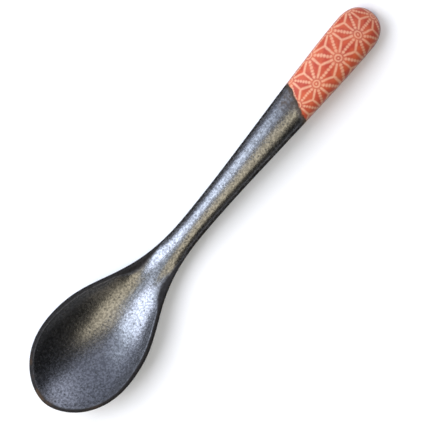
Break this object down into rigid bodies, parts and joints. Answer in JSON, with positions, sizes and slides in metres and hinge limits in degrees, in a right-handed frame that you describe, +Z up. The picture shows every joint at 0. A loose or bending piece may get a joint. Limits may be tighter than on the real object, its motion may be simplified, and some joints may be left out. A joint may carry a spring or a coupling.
{
  "type": "ceramic spoon",
  "caption": "Arched stoneware dessert spoon with an egg-shaped bowl, a black metallic glaze and a red hemp-leaf patterned wrap on the handle end.",
  "frame": {"origin": "middle of the spoon's overall length and width, on the table top that it rests on", "axes": "+X from the bowl's tip to the handle's end, +Y to the left seen from the bowl's tip, +Z up out of the bowl"},
  "size_m": [0.14, 0.0288, 0.0115],
  "materials": {
    "clay": "bare fired stoneware, matt and fine grained",
    "black_glaze": "black iron glaze with a metallic, finely speckled satin lustre",
    "red_wrap": "satin red transfer with a cream hemp-leaf line pattern"
  },
  "bodies": {
    "root": {"stoneware_body": "clay", "black_glaze": "black_glaze", "patterned_wrap": "red_wrap"}
  },
  "joints": []
}
